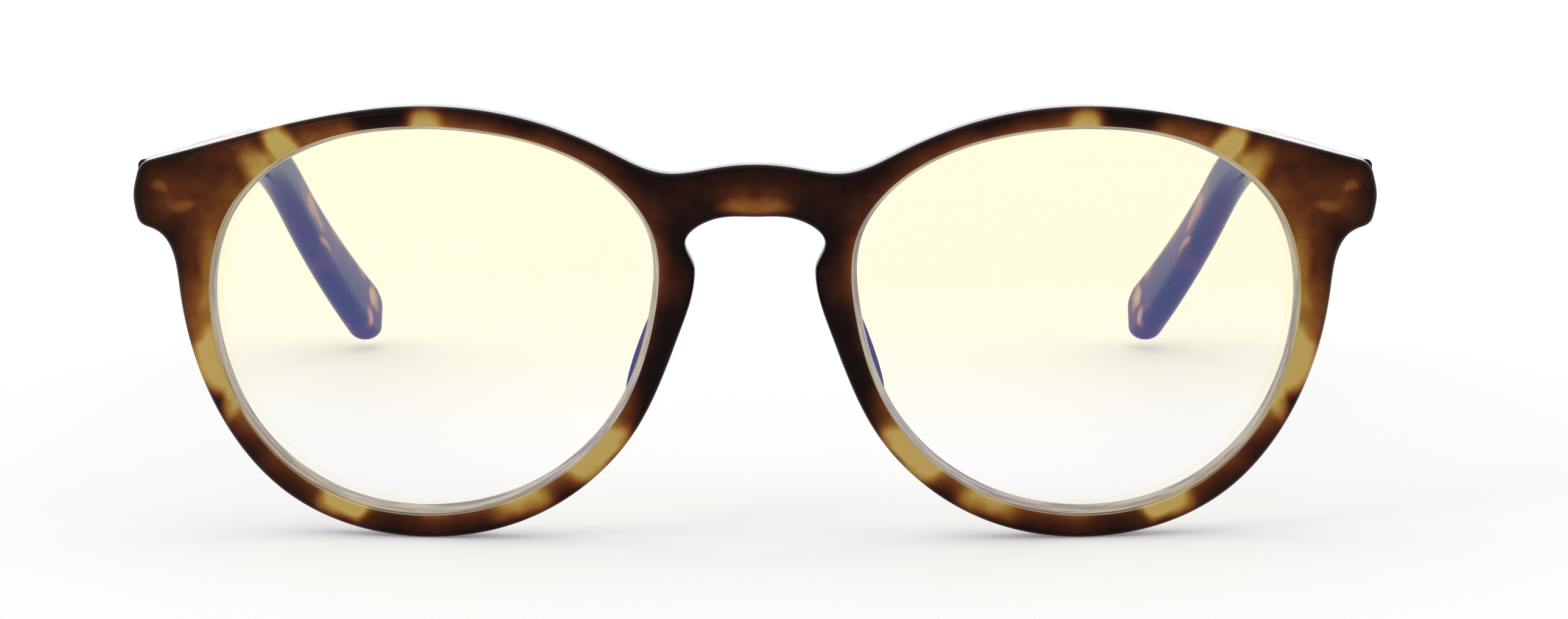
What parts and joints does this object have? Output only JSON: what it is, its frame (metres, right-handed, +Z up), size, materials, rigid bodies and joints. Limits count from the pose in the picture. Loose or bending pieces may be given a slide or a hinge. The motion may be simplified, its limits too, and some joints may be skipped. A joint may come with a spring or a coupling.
{
  "type": "eyeglasses",
  "caption": "Round full-rim glasses with a keyhole bridge, pale blue-light-filter lenses in V grooves, bonded nose pads and wire-cored temples that fold on knuckle hinges.",
  "frame": {"origin": "on the surface that the glasses stand on, under the middle of the overall box; the rims reach down to it, and the temple tips end about 1 mm above it", "axes": "+Z up, -Y the way the front faces, +X the wearer's left; the open temples run back along +Y"},
  "size_m": [0.1384, 0.1474, 0.048],
  "materials": {
    "tortoiseshell_acetate": "polished cellulose acetate, near-black brown with soft amber and olive patches",
    "filter_lens": "clear plano lens with a faint yellow tint and a blue-violet reflecting coat, ground V edge",
    "hinge_metal": "plated nickel silver, tumbled",
    "screw_steel": "turned stainless steel",
    "core_wire": "drawn nickel-silver wire"
  },
  "bodies": {
    "front": {"front_frame": "tortoiseshell_acetate", "lens_left": "filter_lens", "lens_right": "filter_lens", "nose_pad_left": "tortoiseshell_acetate", "nose_pad_right": "tortoiseshell_acetate", "hinge_front_leaf_left": "hinge_metal", "hinge_front_leaf_right": "hinge_metal", "hinge_screw_left": "screw_steel", "hinge_screw_right": "screw_steel"},
    "left_arm": {"temple_left": "tortoiseshell_acetate", "temple_core_left": "core_wire", "hinge_temple_leaf_left": "hinge_metal"},
    "right_arm": {"temple_right": "tortoiseshell_acetate", "temple_core_right": "core_wire", "hinge_temple_leaf_right": "hinge_metal"}
  },
  "joints": [
    {"name": "left_temple_fold", "type": "hinge", "parent": "front", "child": "left_arm", "pos_m": [0.0631, -0.0581, 0.03765], "axis": [0, 0, 1], "range_deg": [0, 87]},
    {"name": "right_temple_fold", "type": "hinge", "parent": "front", "child": "right_arm", "pos_m": [-0.0631, -0.0581, 0.03765], "axis": [0, 0, -1], "range_deg": [0, 78]}
  ]
}
